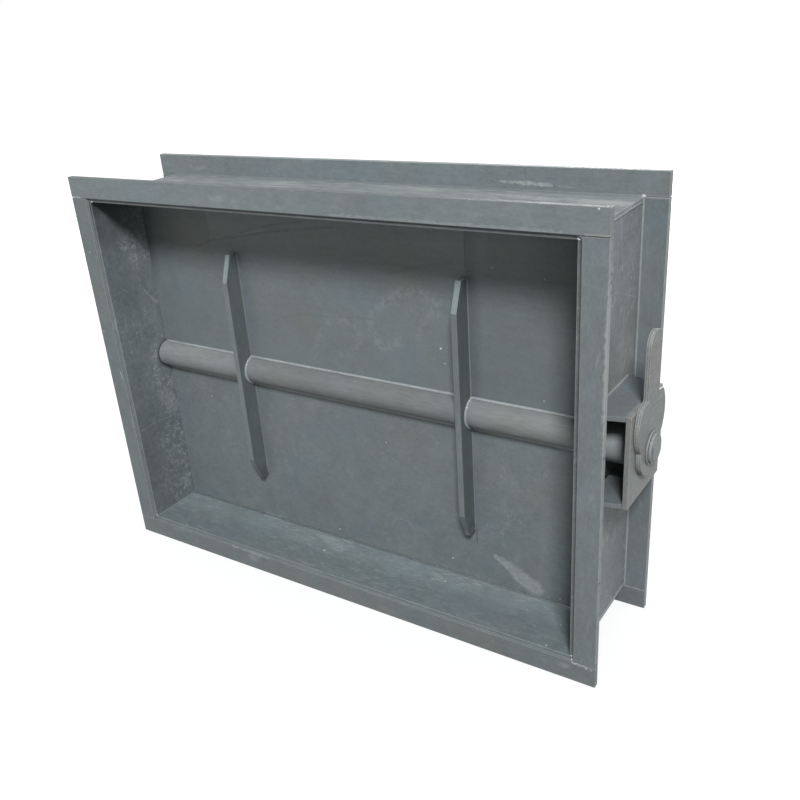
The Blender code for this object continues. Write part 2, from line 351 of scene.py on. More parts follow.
def cut_edges(axes, amount, notch_shade=0.0):
    """The sawn narrow faces of a strip: lighter, with streaks, and with painted shade in a few notches."""
    def lay(g):
        normal = g.split(g.normal)
        mask = g.fold("MAXIMUM", [g.ramp(g.math("ABSOLUTE", normal[axis]), 0.4, 0.8) for axis in axes])
        rough = g.ramp(g.noise(240.0, 4.0, 0.7, (1, 0.5, 0.5)), 0.35, 0.65, 0.45, 1.0)
        g.lay(g.product(mask, rough, amount), PALE)
        if notch_shade:
            notches = g.ramp(g.noise(95.0, turn=2), 0.60, 0.66)
            g.lighten(g.product(mask, notches), -notch_shade)
    return lay


def patch(centre, reach, amount, colour=PALE, rough_scale=60.0):
    """A soft stain or a dusty place, ragged by noise."""
    def lay(g):
        away = g.vector("LENGTH", g.vector("DIVIDE", g.vector("SUBTRACT", g.place, centre), reach))
        ragged = g.math("ADD", away, g.wander(g.noise(rough_scale, 4.0, 0.65), 0.16))
        g.lay(g.product(g.ramp(ragged, 0.35, 1.0, 1.0, 0.0), amount), colour)
    return lay


def painted_light_by_facing(axis, low, high, amount):
    """Painted light and shade: faces that look along an axis made lighter, or darker with a negative amount.
    """
    return lambda g: g.lighten(g.facing(axis, low, high), amount)


def shaft_gap_shade(radius, amount):
    """Painted shade of the gap round the shaft: darker within a radius of the shaft's axis."""
    def lay(g):
        offset = g.vector("SUBTRACT", g.place, tuple(shaft_centre))
        distance = g.vector("LENGTH", g.vector("MULTIPLY", offset, (0.0, 1.0, 1.0)))
        half_edge = 0.0002
        g.lighten(g.ramp(distance, radius - half_edge, radius + half_edge, 1.0, 0.0), -amount)
    return lay


def rim_highlights_and_saw_line(node, amount):
    """Pale lines along a plate's rim: painted highlights where its faces turn, and a fainter sawing line
    between them.
    """
    low, high = (corner.x for corner in span(node))

    def lay(g):
        rim = g.ramp(g.math("ABSOLUTE", g.split(g.normal)[0]), 0.7, 0.3)
        x = g.split(g.place)[0]
        turn = g.math("MINIMUM", g.apart(x, low), g.apart(x, high))
        near = g.math("MAXIMUM", g.ramp(turn, 0.0005, 0.0013, 1.0, 0.0),
                      g.ramp(g.apart(x, low * 0.45 + high * 0.55), 0.0003, 0.0008, 0.6, 0.0))
        g.lay(g.product(rim, near, amount), PALE)
    return lay


def bead_material(name, colour, roughness=0.42):
    """Weld rod: a little smoother than the sheet, with a slight wave of tone."""
    g = Graph(name, specular=0.3)
    wave = g.noise(150.0, 2.0, 0.5)
    factor = g.math("ADD", g.wander(wave, 0.03), g.math("ADD", g.wander(g.noise(28.0), 0.05), 1.0))
    g.colour = g.scaled(colour[:3], factor)
    return g.finish(roughness, wave, 0.0003, 0.5)


# Weld beads. Their middle lines lie a little off the faces that they join

ROD_SIDES = 8
ROD_PITCH = 0.0045
OFF_FACE = 0.0003


def add_piece(name, mesh, material):
    """Puts a mesh into the scene as an object with one material."""
    mesh.materials.append(material)
    piece = bpy.data.objects.new(name, mesh)
    bpy.context.scene.collection.objects.link(piece)
    return piece


def bead(name, body, runs, material, radius, seed, ripple=0.06):
    """One piece made of several runs of round weld rod, each a line of points with rounded ends."""
    dice = random.Random(seed)
    points = []
    faces = []
    for run in runs:
        run = [Vector(p) for p in run]
        lengths = [(b - a).length for a, b in zip(run, run[1:])]
        total = sum(lengths)
        steps = max(6, int(total / ROD_PITCH * 2))
        phase = dice.random() * math.tau
        rings = []
        for i in range(steps + 1):
            at = total * i / steps
            left = at
            k = 0
            while k < len(lengths) - 1 and left > lengths[k]:
                left -= lengths[k]
                k += 1
            way = (run[k + 1] - run[k]).normalized()
            centre = run[k] + way * left
            side = way.orthogonal().normalized()
            if abs(way.x) < 0.1:
                side = Vector((1, 0, 0))
            elif abs(way.y) < 0.1:
                side = Vector((0, 1, 0)).cross(way).normalized()
            up = way.cross(side).normalized()
            side = up.cross(way).normalized()
            wave = 1 + ripple * math.sin(phase + math.tau * at / ROD_PITCH)
            wave += ripple * 0.8 * (dice.random() - 0.5)
            end = min(at, total - at)
            taper = min(1.0, 0.25 + end / (radius * 1.5))
            r = radius * wave * taper
            ring = []
            for j in range(ROD_SIDES):
                angle = math.tau * j / ROD_SIDES
                ring.append(len(points))
                points.append(centre + side * (r * math.cos(angle)) + up * (r * math.sin(angle)))
            rings.append(ring)
        for a, b in zip(rings, rings[1:]):
            for j in range(ROD_SIDES):
                k = (j + 1) % ROD_SIDES
                faces.append((a[j], a[k], b[k], b[j]))
        faces.append(tuple(reversed(rings[0])))
        faces.append(tuple(rings[-1]))
    mesh = bpy.data.meshes.new(name)
    mesh.from_pydata(points, [], faces)
    mesh.polygons.foreach_set("use_smooth", [True] * len(mesh.polygons))
    mesh.update()
    piece = add_piece(name, mesh, material)
    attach(piece, body)


def rectangle(y, left, right, low, high):
    """Four straight runs round a rectangle at depth y: the low, right, high and left ones."""
    corners = [(left, y, low), (right, y, low), (right, y, high), (left, y, high)]
    return [[corner, corners[(k + 1) % 4]] for k, corner in enumerate(corners)]


def arc(centre_x, radius, start, end, steps=18):
    """Points round the shaft's axis at one x, from one angle to another, with 0 towards the front."""
    found = []
    for i in range(steps + 1):
        angle = math.radians(start + (end - start) * i / steps)
        found.append((centre_x, shaft_centre.y - radius * math.cos(angle),
                      shaft_centre.z + radius * math.sin(angle)))
    return found


def weld_blobs(name, body, places, radius, seed):
    """The uneven drops that a weld run ends in: lumpy, and flattened by chance."""
    dice = random.Random(seed)
    shape = bmesh.new()
    for place in places:
        made = bmesh.ops.create_icosphere(shape, subdivisions=3, radius=radius)
        squash = Vector([dice.uniform(0.75, 1.1) for _ in range(3)])
        lumps = [Vector([dice.uniform(-1, 1) for _ in range(3)]).normalized() for _ in range(4)]
        for vertex in made["verts"]:
            way = vertex.co.normalized()
            swell = 1 + 0.16 * sum(max(0.0, way.dot(lump)) ** 4 for lump in lumps)
            vertex.co = Vector(place) + Vector(a * b for a, b in zip(vertex.co * swell, squash))
    mesh = bpy.data.meshes.new(name)
    shape.to_mesh(mesh)
    shape.free()
    mesh.polygons.foreach_set("use_smooth", [True] * len(mesh.polygons))
    piece = add_piece(name, mesh, BURR)
    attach(piece, body)


CASING_ROD = bead_material("casing_weld_rod", (0.185, 0.208, 0.214, 1.0))
# The front step's weld rod is dark: painted shade in the recess that the flanges overhang
SHADED_STEP_ROD = bead_material("shaded_step_weld_rod", (0.085, 0.100, 0.104, 1.0))
PALE_ROD = bead_material("pale_weld_rod", (0.270, 0.292, 0.296, 1.0))
BLADE_ROD = bead_material("blade_weld_rod", (0.165, 0.187, 0.193, 1.0))
FITTING_ROD = bead_material("fitting_weld_rod", (0.235, 0.250, 0.250, 1.0))
SHAFT_ROD = bead_material("shaft_weld_rod", (0.300, 0.322, 0.325, 1.0))
BURR = bead_material("weld_burr", (0.520, 0.530, 0.525, 1.0), 0.35)

# In the step where the wall ends meet the flanges, front and rear
step_box = (outer_left + OFF_FACE, outer_right - OFF_FACE, outer_bottom + OFF_FACE, outer_top - OFF_FACE)
bead("weld_rear_step", "casing", rectangle(wall_rear + OFF_FACE, *step_box), CASING_ROD,
     radius=0.0009, seed=3)

# In front, one run turns the top right corner in a curve, and a puddle of weld fills the corner behind it
CORNER = 0.0060
step_y = wall_front - OFF_FACE
turn = []
for angle in range(90, -1, -15):
    turn.append((outer_right - CORNER + (CORNER - OFF_FACE) * math.sin(math.radians(angle)),
                 outer_top - CORNER + (CORNER - OFF_FACE) * math.cos(math.radians(angle))))
low_run, right_run, top_run, left_run = rectangle(step_y, *step_box)
bead("weld_front_step", "casing",
     [right_run[:1] + [(x, step_y, z) for x, z in turn] + top_run[1:]], SHADED_STEP_ROD, radius=0.0009, seed=3)
bead("weld_front_step_low", "casing", [low_run, left_run], CASING_ROD, radius=0.0009,
     seed=4)


def corner_puddle(name, front_y, back_y, material):
    """A wedge between the step's top right corner and the curve, a little lower towards the curve."""
    outline = [(outer_right, outer_top)] + turn
    fall = 0.0006
    crest = CORNER * 0.18
    points = []
    for k, (x, z) in enumerate(outline):
        points.append((x, front_y if k == 0 else front_y + fall, z))
    for x, z in outline:
        points.append((x, back_y, z))
    count = len(outline)
    points.append((outer_right - crest, front_y, outer_top - crest))
    faces = [(k, k + 1, 2 * count) for k in range(count - 1)]
    faces.append((count - 1, 0, 2 * count))
    faces += [(k + 1, k, k + count, k + count + 1) for k in range(count - 1)]
    faces.append((0, count - 1, 2 * count - 1, count))
    faces.append(tuple(range(count, 2 * count)))
    mesh = bpy.data.meshes.new(name)
    mesh.from_pydata(points, [], faces)
    mesh.update()
    piece = add_piece(name, mesh, material)
    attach(piece, "casing")


corner_puddle("weld_corner_puddle", span("front_flange_top")[0].y + OFF_FACE, wall_front,
              bead_material("puddle_plastic", (0.168, 0.192, 0.200, 1.0), 0.5))

# Drops at the step's corners, where the runs stop
drop_y = wall_front - 0.0002
weld_blobs("weld_step_drops", "casing", [
    (outer_right - 0.0047, drop_y, outer_top - 0.0034),
    (outer_right - 0.0036, drop_y, outer_top - 0.0044),
    (outer_left + 0.0085, drop_y, inner_top + 0.0006),
    (inner_right + 0.0022, drop_y, inner_bottom + 0.0010),
    (outer_right - 0.0022, drop_y, outer_bottom + 0.0006),
    (inner_left + 0.0006, drop_y, inner_bottom + 0.0028),
], radius=0.0012, seed=31)

# Between the flanges' backs and the outside of the walls. The rear one shows its right run as a pale line
front_flange_back = span("front_flange_left")[1].y
rear_flange_front = span("rear_flange_left")[0].y
for end_name, y in (("front", front_flange_back + OFF_FACE), ("rear", rear_flange_front - OFF_FACE)):
    low_run, right_run, top_run, left_run = rectangle(
        y, outer_left - OFF_FACE, outer_right + OFF_FACE, outer_bottom - OFF_FACE, outer_top + OFF_FACE)
    bead(f"weld_{end_name}_flange_back", "casing", [low_run, top_run, left_run], CASING_ROD,
         radius=0.0013, seed=5)
    bead(f"weld_{end_name}_flange_side", "casing", [right_run], PALE_ROD,
         radius=0.0015, seed=6)
weld_blobs("weld_flange_drop", "casing",
           [(outer_right + 0.0004, rear_flange_front - 0.0008, outer_top + 0.0004)], radius=0.0022, seed=37)

# Outside, where the top and bottom sheets lie over the ends of the side sheets
flange_clear = 0.009
seam_runs = []
for x in (outer_left - 0.0001, outer_right + 0.0001):
    for z in (inner_bottom, inner_top):
        seam_runs.append([(x, wall_front + flange_clear, z), (x, wall_rear - flange_clear, z)])
bead("weld_wall_seams", "casing", seam_runs, PALE_ROD, radius=0.0009, seed=41)

# In the four inside corners of the duct
end_clear = 0.002
corner_runs = []
for x in (inner_left + 0.0002, inner_right - 0.0002):
    for z in (inner_bottom + 0.0002, inner_top - 0.0002):
        corner_runs.append([(x, wall_front + end_clear, z), (x, wall_rear - end_clear, z)])
bead("weld_duct_corners", "casing", corner_runs, CASING_ROD, radius=0.0013, seed=7)

# Along the ribs' feet, round the shaft beside each rib, and along the shaft on the blade
tip_clear = 0.001
shaft_clear = shaft_radius + 0.001
foot_y = blade_front - OFF_FACE
for rib in ("rib_left", "rib_right"):
    lo, hi = span(rib)
    runs = []
    for x in (lo.x - 0.0002, hi.x + 0.0002):
        runs.append([(x, foot_y, lo.z + tip_clear), (x, foot_y, shaft_centre.z - shaft_clear)])
        runs.append([(x, foot_y, shaft_centre.z + shaft_clear), (x, foot_y, hi.z - tip_clear)])
    bead(f"weld_{rib}_foot", "blade", runs, BLADE_ROD, radius=0.0013, seed=11, ripple=0.05)
    runs = [arc(x, shaft_radius + 0.0004, -80, 80) for x in (lo.x - 0.0006, hi.x + 0.0006)]
    bead(f"weld_{rib}_shaft", "blade", runs, SHAFT_ROD, radius=0.0020, seed=13)
    tops = arc(hi.x + 0.0012, shaft_radius + 0.0012, 38, 76, 3)
    weld_blobs(f"weld_{rib}_drops", "blade", tops, radius=0.0011, seed=15)

shaft_runs = []
for y in (blade_front - 0.0005, blade_rear + 0.0005):
    for z in (blade_low_edge - 0.0004, blade_high_edge + 0.0004):
        shaft_runs.append([(blade_lo.x + end_clear, y, z), (blade_hi.x - end_clear, y, z)])
bead("weld_shaft_blade", "blade", shaft_runs, SHAFT_ROD, radius=0.0021, seed=17, ripple=0.05)

# Round the bracket, where its plates meet the wall and each other
top_lo, top_hi = span("bracket_top_plate")
low_lo, low_hi = span("bracket_bottom_plate")
plate_lo, plate_hi = span("bracket_outer_plate")
wall_x = outer_right + 0.0006
inside_x = plate_lo.x - 0.0004
bracket_runs = [[(wall_x, top_lo.y + tip_clear, z), (wall_x, top_hi.y - tip_clear, z)]
                for z in (top_hi.z + OFF_FACE, low_lo.z - OFF_FACE)]
bead("weld_bracket_wall", "casing", bracket_runs, FITTING_ROD, radius=0.0018, seed=19,
     ripple=0.10)
bracket_runs = [[(inside_x, plate_lo.y + end_clear, z), (inside_x, plate_hi.y - end_clear, z)]
                for z in (top_lo.z - 0.0004, low_hi.z + 0.0004)]
bead("weld_bracket_corners", "casing", bracket_runs, FITTING_ROD, radius=0.0030, seed=23,
     ripple=0.10)
boss_lo, boss_hi = span("left_boss")
boss_run = arc(outer_left - 0.0006, (boss_hi.z - boss_lo.z) / 2 + 0.0004, 0, 360, 40)
bead("weld_left_boss", "casing", [boss_run], FITTING_ROD, radius=0.0022, seed=29,
     ripple=0.10)


# Materials of the CAD nodes


def dress(node, colour, seed, finish="sheet", **looks):
    """Gives a CAD node a sheet material of its own."""
    mesh = NODES[node].data
    mesh.materials.clear()
    mesh.materials.append(sheet_material(f"{node}_{finish}", colour, seed, **looks))


def across(y, *pairs):
    """Points on a face that looks along the duct: x and z in millimetres."""
    return [(x / 1000, y, z / 1000) for x, z in pairs]


def beside(x, *pairs):
    """Points on a face that looks sideways: y and z in millimetres."""
    return [(x, y / 1000, z / 1000) for y, z in pairs]


def level(z, *pairs):
    """Points on a level face: x and y in millimetres."""
    return [(x / 1000, y / 1000, z) for x, y in pairs]


def face(*pairs):
    """Points on the front flange's face."""
    return across(span("front_flange_top")[0].y, *pairs)


def rear(*pairs):
    """Points on the rear flange's side towards the front."""
    return across(rear_flange_front, *pairs)


def skin(*pairs):
    """Points on the blade's front."""
    return across(blade_front, *pairs)


def base(*pairs):
    """Points on the duct's floor."""
    return level(inner_bottom, *pairs)


def flank(*pairs):
    """Points on the left wall's inside."""
    return beside(inner_left, *pairs)


def dress_flange(node, colour, seed, marks=(), warm=0.02, edge=0.35, cut=0.30, notch_shade=0.0):
    """A flange strip: streaked along its length, lighter on its sawn faces, and then its own marks."""
    long_way = (0.4, 1, 1) if node.endswith(("top", "bottom")) else (1, 1, 0.4)
    shared = [scuffs(85.0, 0.53, 0.75, 0.22, long_way), worms(110.0, 0.03, 0.12),
              cut_edges((0, 2), cut, notch_shade), worn_and_highlit_edges(node, edge)]
    dress(node, colour, seed, cloud=0.025, mottle=0.036, speckle=0.028, grain=0.036, hue=warm, way=long_way,
          marks=shared + list(marks))


SEAM_TOP = outer_top * 1000
SEAM_LOW = outer_bottom * 1000
flange_side = span("front_flange_right")[1].x

dress_flange("front_flange_top", (0.188, 0.216, 0.224, 1.0), 1.0, [
    line(face((-396, SEAM_TOP + 0.5), (-380, SEAM_TOP + 0.5)), 0.0018, 0.80, WHITE, broken=0.5),
    line(face((-376, SEAM_TOP), (-370, SEAM_TOP)), 0.0011, 0.75, WHITE, broken=0.3),
    line(face((344, SEAM_TOP + 1.4), (368, SEAM_TOP + 1.4)), 0.0017, 0.34),
    dark_line(face((344, SEAM_TOP), (368, SEAM_TOP)), 0.0008, 0.30),
    line(face((-276, 547), (-222, 560)), 0.0022, 0.09, broken=0.6, grain=120.0),
    smear(face((-136, 551), (-118, 550.5)), 0, -0.140, -0.130, 0.003, 0.0045, 0.22),
    patch(face((-98, 548))[0], (0.006, 0.01, 0.004), 0.16, rough_scale=150.0),
    patch(face((-28, 544))[0], (0.007, 0.01, 0.003), 0.14, rough_scale=150.0),
    smear(face((40, 540.5), (320, 539.5)), 0, 0.02, 0.08, 0.0008, 0.0026, 0.26),
    spots(face((356.7, 564.4)), 0.0014, 0.95),
    patch(face((-240, 556))[0], (0.09, 0.02, 0.012), 0.10, (0.16, 0.20, 0.25, 1.0)),
    # Painted shade: the flange's top face is made darker
    painted_light_by_facing(2, 0.5, 0.9, -0.36),
], cut=0.0, edge=0.15)
dress_flange("front_flange_left", (0.152, 0.176, 0.183, 1.0), 2.0, [
    line(face((-386, 462.5), (-384, 462)), 0.0020, 0.35, (0.48, 0.52, 0.60, 1.0)),
    line(face((-375, 283), (-372.6, 271)), 0.0016, 0.45, WHITE, broken=0.4),
    line(face((-372.5, 206), (-371, 191)), 0.0011, 0.32),
    spots(face((-392, 344)), 0.0015, 0.40),
    # Painted shadow in two notches of the edge
    spots(face((-397, 91), (-397, 65)), 0.0028, 0.9, (0.02, 0.02, 0.02, 1.0)),
    line(face((-392, SEAM_LOW + 0.6), (-369, SEAM_LOW + 0.8)), 0.0010, 0.35, WHITE, broken=0.9, grain=150.0),
    spots(face((-371, SEAM_LOW + 1.2)), 0.0013, 0.8),
], warm=0.03, edge=0.28)
dress_flange("front_flange_right", (0.170, 0.195, 0.205, 1.0), 3.0, [
    dark_line(face((342, SEAM_TOP), (368, SEAM_TOP)), 0.0012, 0.40),
    # Painted shade in chips along the back edge
    spots(beside(flange_side, (-83, 502), (-84, 494), (-82.5, 484), (-83, 468), (-83, 450), (-82.5, 431)),
          0.0026, 0.70, (0.05, 0.06, 0.06, 1.0)),
    patch((flange_side, -0.085, 0.40), (0.004, 0.012, 0.13), 0.50, rough_scale=160.0),
    line(face((343, 512), (368, 511)), 0.0018, 0.07, broken=0.5, grain=120.0),
    line(face((345, 492), (368, 486)), 0.0020, 0.06, broken=0.5, grain=120.0),
], edge=0.34, notch_shade=0.6)
dress_flange("front_flange_bottom", (0.163, 0.184, 0.187, 1.0), 4.0, [
    patch(face((-95, 8))[0], (0.050, 0.02, 0.010), 0.30, MUD),
    patch(face((10, 14))[0], (0.045, 0.02, 0.014), 0.35, MUD),
    patch(face((-163, 19))[0], (0.014, 0.02, 0.008), 0.25),
    patch(face((180, 14))[0], (0.060, 0.02, 0.010), 0.20, MUD),
    patch(face((331, 18.5))[0], (0.010, 0.02, 0.005), 0.22, rough_scale=150.0),
    smear(face((-200, 27.0), (-130, 26.8)), 0, -0.21, -0.16, 0.001, 0.0024, 0.35),
    line(face((341, 27.0), (364, 24.6)), 0.0022, 0.60, WHITE, broken=0.95, grain=330.0),
    line(face((340, SEAM_LOW - 0.4), (366, SEAM_LOW - 0.4)), 0.0012, 0.18, WHITE, broken=0.9, grain=150.0),
], warm=0.035, edge=0.14, cut=0.12)
dress_flange("rear_flange_top", (0.186, 0.213, 0.223, 1.0), 5.0, [
    smear(rear((163, 548), (200, 547), (234, 545.5)), 0, 0.170, 0.202, 0.0012, 0.0030, 0.62, bare=0.6),
    line(rear((243, 545), (262, 544)), 0.0014, 0.22, broken=0.5),
    dark_line(rear((201.5, 563), (201.5, 542)), 0.0010, 0.16),
    line(rear((343, SEAM_TOP + 0.8), (368, SEAM_TOP + 0.8)), 0.0016, 0.30),
    patch(rear((366, 552))[0], (0.008, 0.02, 0.016), 0.35, MUD),
], cut=0.20)
dress_flange("rear_flange_right", (0.168, 0.190, 0.198, 1.0), 6.0, [
    line(rear((343, SEAM_TOP - 0.8), (368, SEAM_TOP - 0.8)), 0.0016, 0.30),
    line(rear((343, SEAM_LOW + 0.6), (368, SEAM_LOW + 0.6)), 0.0012, 0.22),
])
dress_flange("rear_flange_left", (0.164, 0.188, 0.197, 1.0), 7.0)
dress_flange("rear_flange_bottom", (0.158, 0.180, 0.188, 1.0), 8.0)

# The walls. The left one is littered with short pale marks behind its front third
dress("wall_left", (0.166, 0.192, 0.199, 1.0), 21.0, marks=[
    worms(70.0, 0.040, 0.62, (1, -0.066, -0.030)),
    worms(120.0, 0.055, 0.66, (1, -0.075, -0.040)),
    scuffs(95.0, 0.50, 0.72, 0.22, (1, 0.7, 0.7), 16.0, 0.40, 0.58),
    smear(flank((-50, 474), (-42, 458), (-34, 440), (-24, 415)), 2, 0.48, 0.45, 0.006, 0.014, 0.11, bare=0.1),
    smear(flank((-32, 396), (-24, 376), (-20, 348)), 2, 0.40, 0.37, 0.007, 0.017, 0.15, bare=0.1),
    smear(flank((-30, 235), (-20, 215), (-12, 195)), 2, 0.25, 0.21, 0.008, 0.016, 0.34, bare=0.1),
    line(flank((-28, 394), (-4, 363)), 0.0014, 0.35, broken=0.6),
    line(flank((-82, 183), (-48, 185), (-20, 182)), 0.0015, 0.32, broken=0.7),
    line(flank((-63, 402), (-55, 396)), 0.0014, 0.30, broken=0.5),
    spots(flank((-54, 333), (-70, 308)), 0.0018, 0.28),
    shade(0.35, (2, 0.44, 0.50)),
    shade(-0.08, (2, 0.40, 0.35), (2, 0.20, 0.26)),
    shade(0.06, (2, 0.22, 0.18)),
    shade(0.40, (2, 0.505, 0.525)),
    worn_and_highlit_edges("wall_left", 0.35),
], mottle=0.055, speckle=0.050, grain=0.040, hue=0.025)
dress("wall_right", (0.196, 0.214, 0.218, 1.0), 22.0, marks=[
    worms(75.0, 0.045, 0.45),
    scuffs(48.0, 0.50, 0.70, 0.25, (1, 1, 0.6), 14.0),
    scuffs(120.0, 0.52, 0.72, 0.30, (1, 1, 0.6), 20.0, 0.42, 0.60),
    patch((outer_right, -0.050, 0.385), (0.01, 0.030, 0.050), 0.60, (0.095, 0.105, 0.095, 1.0)),
    shade(0.80, (0, outer_right - 0.0010, outer_right - 0.0005), (1, -0.034, -0.020), (1, 0.072, 0.066),
          (2, 0.229, 0.231), (2, 0.334, 0.331)),
    worn_and_highlit_edges("wall_right", 0.45),
    shade(0.35, (0, inner_right, inner_right + 0.001), front=True),
    shade(0.35, (0, inner_right + 0.0020, inner_right + 0.0030), front=True),
], cloud=0.03, mottle=0.060, speckle=0.050, grain=0.045, hue=0.03, way=(1, 1, 0.8))
dress("wall_bottom", (0.184, 0.220, 0.230, 1.0), 23.0, marks=[
    scuffs(110.0, 0.52, 0.72, 0.18, (0.28, 1, 1), 13.0, 0.44, 0.60),
    scuffs(230.0, 0.52, 0.70, 0.36, (0.25, 1, 1), 11.0, 0.38, 0.54),
    worms(120.0, 0.030, 0.22),
    patch(base((215, -52))[0], (0.100, 0.042, 0.02), 0.22, (0.160, 0.185, 0.235, 1.0)),
    patch(base((-250, -65))[0], (0.060, 0.020, 0.02), 0.10, (0.160, 0.180, 0.230, 1.0)),
    smear(base((-97, -12), (-66, -18), (-48, -28)), 0, -0.10, -0.06, 0.005, 0.013, 0.26),
    line(base((-38, -33), (-37, -16)), 0.0022, 0.14, (0.40, 0.45, 0.55, 1.0), broken=0.6),
    line(base((148, -27), (155, -20)), 0.0016, 0.38, broken=0.5),
    line(base((160, -65), (178, -63)), 0.0014, 0.24, broken=0.7),
    line(base((193, -72), (207, -64)), 0.0014, 0.25, broken=0.7),
    line(base((-208, -4.6), (-176, -4.2)), 0.0012, 0.45, broken=0.5),
    spots(base((-63, -42)), 0.0019, 0.90),
    spots(base((304, -83), (131, -26)), 0.0018, 0.60),
    spots(base((-132, -18), (0, -61), (-2, -79), (113, -28), (254, -30)), 0.0014, 0.34),
    spots(base((276, -56), (304, -39), (60, -70)), 0.0013, 0.42),
    # Painted shadow in the gap under the blade's lower edge
    dark_line(base((-362, -3.0), (334, -3.0)), 0.0011, 0.55),
    shade(0.17, (1, -0.025, -0.058)),
    worn_and_highlit_edges("wall_bottom", 0.38),
], cloud=0.022, mottle=0.038, speckle=0.042, grain=0.048, hue=0.025, way=(0.35, 1, 1), specks=0.25)
dress("wall_top", (0.214, 0.240, 0.247, 1.0), 24.0, marks=[
    scuffs(70.0, 0.48, 0.66, 0.40, (0.22, 1, 1), 12.0, 0.38, 0.56),
    scuffs(150.0, 0.50, 0.68, 0.40, (0.25, 1, 1), 18.0, 0.38, 0.56),
    patch(level(outer_top, (312, 46))[0], (0.050, 0.016, 0.02), 0.60, rough_scale=230.0),
    smear(level(outer_top, (168, 58), (216, 52), (254, 46)), 0, 0.172, 0.200, 0.0040, 0.0100, 0.55, bare=0.4),
    patch(level(outer_top, (60, 64))[0], (0.090, 0.018, 0.02), 0.25, rough_scale=150.0),
    worn_and_highlit_edges("wall_top", 0.45),
    shade(0.50, (2, inner_top - 0.001, inner_top), front=True),
    shade(0.45, (2, inner_top + 0.0018, inner_top + 0.0030), front=True),
], cloud=0.025, mottle=0.045, speckle=0.050, grain=0.04, way=(0.3, 1, 1))

# The blade: marks of flow in the sheet, scribed lines, a wiped smear, rubbed loops, white specks
BLADE = (0.160, 0.185, 0.192, 1.0)
FRONT_SIDE = ((1, 0.001, -0.001),)
RIB_RIGHT = span("rib_right")[1].x
dress("blade_upper", BLADE, 31.0, marks=[
    streaks(60.0, (0.12, 1, 1), 0.022, (2, 0.36, 0.46)),
    streaks(170.0, (0.15, 1, 1), 0.030, (2, 0.34, 0.44)),
    # Painted warm shade over the top of the blade
    tinted_shade((0.150, 0.152, 0.138, 1.0), 0.16, (2, 0.40, 0.50)),
    # A step in the sheet's own tone, lighter to the right of it
    shade(-0.20, (0, -0.2345, -0.2335), (2, 0.440, 0.500), front=True),
    dark_line(skin((-260, 459), (-241, 466), (-225, 470), (-174, 479), (-124, 488), (-63, 496), (-20, 501)),
                0.0022, 0.24, broken=0.7),
    dark_line(skin((-205, 476), (-173, 484), (-143, 493), (-112, 499), (-60, 506)), 0.0020, 0.24,
                broken=0.7),
    line(skin((-262, 463), (-225, 474), (-174, 483), (-124, 492)), 0.0020, 0.09, broken=0.6, grain=130.0),
    line(skin((-270, 451), (-235, 464)), 0.0018, 0.10, broken=0.6, grain=130.0),
    dark_line(skin((-137, 362), (-118, 372), (-79, 380), (-42, 382), (25, 387)), 0.0020, 0.10, broken=0.8),
    dark_line(skin((60, 450), (112, 464), (150, 472)), 0.0030, 0.10, broken=0.7),
    line(skin((166.7, 522), (165.3, 466)), 0.0008, 0.60, (0.130, 0.080, 0.076, 1.0), broken=0.5, grain=90.0),
    line(skin((-72, 426), (-50, 391), (-37, 381)), 0.0055, 0.07, broken=0.7, soft=0.95, grain=120.0,
         only=FRONT_SIDE),
    line(skin((-73, 321), (-65, 346), (-43, 372), (-15, 382), (6, 375), (7, 356), (-11, 334), (-25, 332)),
         0.0090, 0.10, broken=0.9, soft=0.95, grain=130.0, only=FRONT_SIDE),
    line(skin((124, 405), (125, 422), (98, 433), (72, 427), (44, 409), (27, 385), (27, 363), (45, 350),
                (69, 363)), 0.0120, 0.15, broken=0.9, soft=0.95, grain=130.0, only=FRONT_SIDE),
    line(skin((118, 408), (108, 398), (100, 384), (96, 372)), 0.0080, 0.10, broken=0.9, soft=0.95,
         grain=150.0, only=FRONT_SIDE),
    dark_line(skin((84, 405), (92, 398)), 0.0018, 0.10),
    dark_line(skin((98, 410), (104, 400)), 0.0018, 0.10),
    spots(skin((128, 362)), 0.0017, 0.95),
    spots(skin((133, 343), (200, 470), (264, 463), (264, 317)), 0.0016, 0.34),
    shade(0.05, (2, 0.495, 0.530), front=True),
    shade(0.28, (0, 0.23, 0.29), (2, 0.38, 0.45), front=True),
    shade(0.50, (0, 0.28, 0.32), (2, 0.38, 0.46), front=True),
    shade(0.25, (0, 0.06, 0.20), (2, 0.50, 0.53), front=True),
    shade(0.10, (0, 0.17, 0.20), front=True),
    shade(0.35, (0, -0.340, -0.362), (2, 0.38, 0.44), front=True),
    shade(0.22, (0, RIB_RIGHT + 0.020, RIB_RIGHT + 0.002), (0, RIB_RIGHT - 0.004, RIB_RIGHT), front=True),
    worn_and_highlit_edges("blade_upper", 0.22),
], cloud=0.022, mottle=0.026, speckle=0.022, grain=0.030, hue=0.026, way=(0.5, 1, 1))
